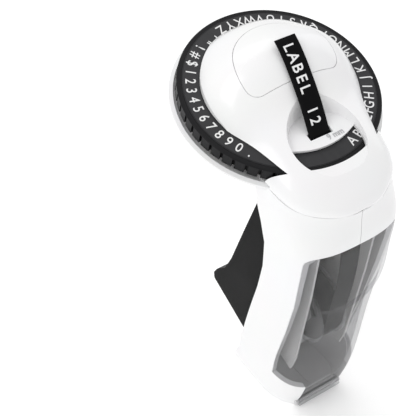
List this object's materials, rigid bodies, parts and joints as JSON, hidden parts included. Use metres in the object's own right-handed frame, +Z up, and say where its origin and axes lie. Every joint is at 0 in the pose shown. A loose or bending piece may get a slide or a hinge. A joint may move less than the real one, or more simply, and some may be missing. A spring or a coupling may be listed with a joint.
{
  "type": "embossing label maker",
  "caption": "Hand-held embossing label maker with a lettered dial under a domed cover, a squeeze trigger, a clear door over the tape cassette and an embossed strip",
  "frame": {"origin": "centre of the flat foot of the handle, on the surface the tool stands on", "axes": "+Z up with the tool standing on its foot; +Y forward, the way the trigger and the front of the dial point; +X to the right of the person holding it"},
  "size_m": [0.0802, 0.0863, 0.1728],
  "materials": {
    "white_shell": "satin white moulded plastic",
    "white_cover": "gloss white moulded plastic",
    "white_badge": "gloss white moulded plastic",
    "white_inner": "natural white moulded plastic",
    "dial_grey": "dark grey satin plastic",
    "knurl_black": "black moulded grip",
    "punch_black": "dark moulded plastic",
    "trigger_black": "fine-textured black plastic",
    "steel": "zinc-plated steel",
    "spring_steel": "bright spring steel",
    "blade_steel": "ground steel",
    "pad_rubber": "firm rubber",
    "roller_rubber": "matte rubber",
    "tape_black": "glossy black vinyl",
    "clear_cassette": "clear moulded plastic",
    "smoke_door": "grey smoke clear plastic"
  },
  "bodies": {
    "housing": {"left_handle_shell": "white_shell", "right_handle_shell": "white_shell", "top_cover": "white_cover", "badge_plate": "white_badge", "dial_carrier": "white_inner", "detent_plunger": "steel", "detent_spring": "spring_steel", "trigger_pin": "steel", "trigger_spring": "spring_steel", "left_side_plate": "steel", "right_side_plate": "steel", "press_pin": "steel", "feed_axle": "steel", "pinch_axle": "steel", "cassette_left_side": "clear_cassette", "cassette_right_side": "clear_cassette", "cassette_bay": "white_inner", "tape_web": "tape_black", "label_strip": "tape_black", "door_hinge_pin": "steel", "cross_screws": "steel", "centre_screw": "steel"},
    "dial": {"character_dial": "dial_grey", "knurled_rim": "knurl_black", "punch_ring": "punch_black"},
    "trigger": {"trigger": "trigger_black"},
    "press_lever": {"press_lever": "steel", "anvil_pad": "pad_rubber", "cutter_blade": "blade_steel"},
    "feed_roller": {"feed_roller": "roller_rubber", "feed_ratchet": "white_inner"},
    "pinch_roller": {"pinch_roller": "white_inner"},
    "tape_reel": {"tape_roll": "tape_black", "roll_core": "white_inner"},
    "door": {"door": "smoke_door"}
  },
  "joints": [
    {"name": "dial_spin", "type": "hinge", "parent": "housing", "child": "dial", "pos_m": [0, -0.00396, 0.15172], "axis": [0, -0.4226, 0.9063], "continuous": true},
    {"name": "trigger_squeeze", "type": "hinge", "parent": "housing", "child": "trigger", "pos_m": [0, -0.02182, 0.12022], "axis": [-1, 0, 0], "range_deg": [0, 10], "stiffness_Nm_per_rad": 1.2, "springref_deg": -6.88},
    {"name": "press_lift", "type": "hinge", "parent": "housing", "child": "press_lever", "pos_m": [0, -0.01828, 0.13511], "axis": [-1, 0, 0], "range_deg": [0, 5]},
    {"name": "feed_turn", "type": "hinge", "parent": "housing", "child": "feed_roller", "pos_m": [0, -0.03797, 0.12362], "axis": [-1, 0, 0], "range_deg": [0, 72]},
    {"name": "pinch_turn", "type": "hinge", "parent": "housing", "child": "pinch_roller", "pos_m": [0, -0.04293, 0.12715], "axis": [1, 0, 0], "range_deg": [0, 116]},
    {"name": "reel_spin", "type": "hinge", "parent": "housing", "child": "tape_reel", "pos_m": [0, -0.01571, 0.05577], "axis": [1, 0, 0], "continuous": true},
    {"name": "door_open", "type": "hinge", "parent": "housing", "child": "door", "pos_m": [0, -0.01986, 0.00363], "axis": [1, 0, 0], "range_deg": [0, 65]}
  ],
  "couplings": [
    {"joint": "press_lift", "follows": "trigger_squeeze", "ratio": 0.5},
    {"joint": "feed_turn", "follows": "trigger_squeeze", "ratio": 7.16},
    {"joint": "pinch_turn", "follows": "trigger_squeeze", "ratio": 11.456}
  ]
}
